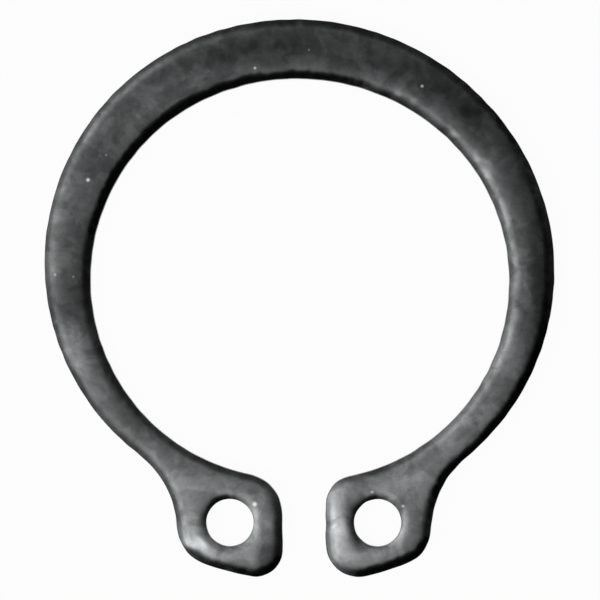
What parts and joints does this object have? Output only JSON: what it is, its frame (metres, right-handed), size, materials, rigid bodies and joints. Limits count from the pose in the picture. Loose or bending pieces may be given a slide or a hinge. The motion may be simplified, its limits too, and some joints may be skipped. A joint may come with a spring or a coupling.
{
  "type": "external retaining ring",
  "caption": "External circlip for a shaft groove: flat open spring steel ring, tapered towards its lugs, with plier holes and rolled edges.",
  "frame": {"origin": "centre of the seat that grips the shaft, on the sharp-edged face that the ring lies on", "axes": "+Z is the shaft's axis, up through the ring; +Y points to the back of the ring, the widest place, so that the lugs and the gap lie towards -Y"},
  "size_m": [0.0194, 0.0212, 0.001],
  "materials": {
    "spring_steel": "satin dark phosphate with mottled patches"
  },
  "bodies": {
    "root": {"retaining_ring": "spring_steel"}
  },
  "joints": []
}
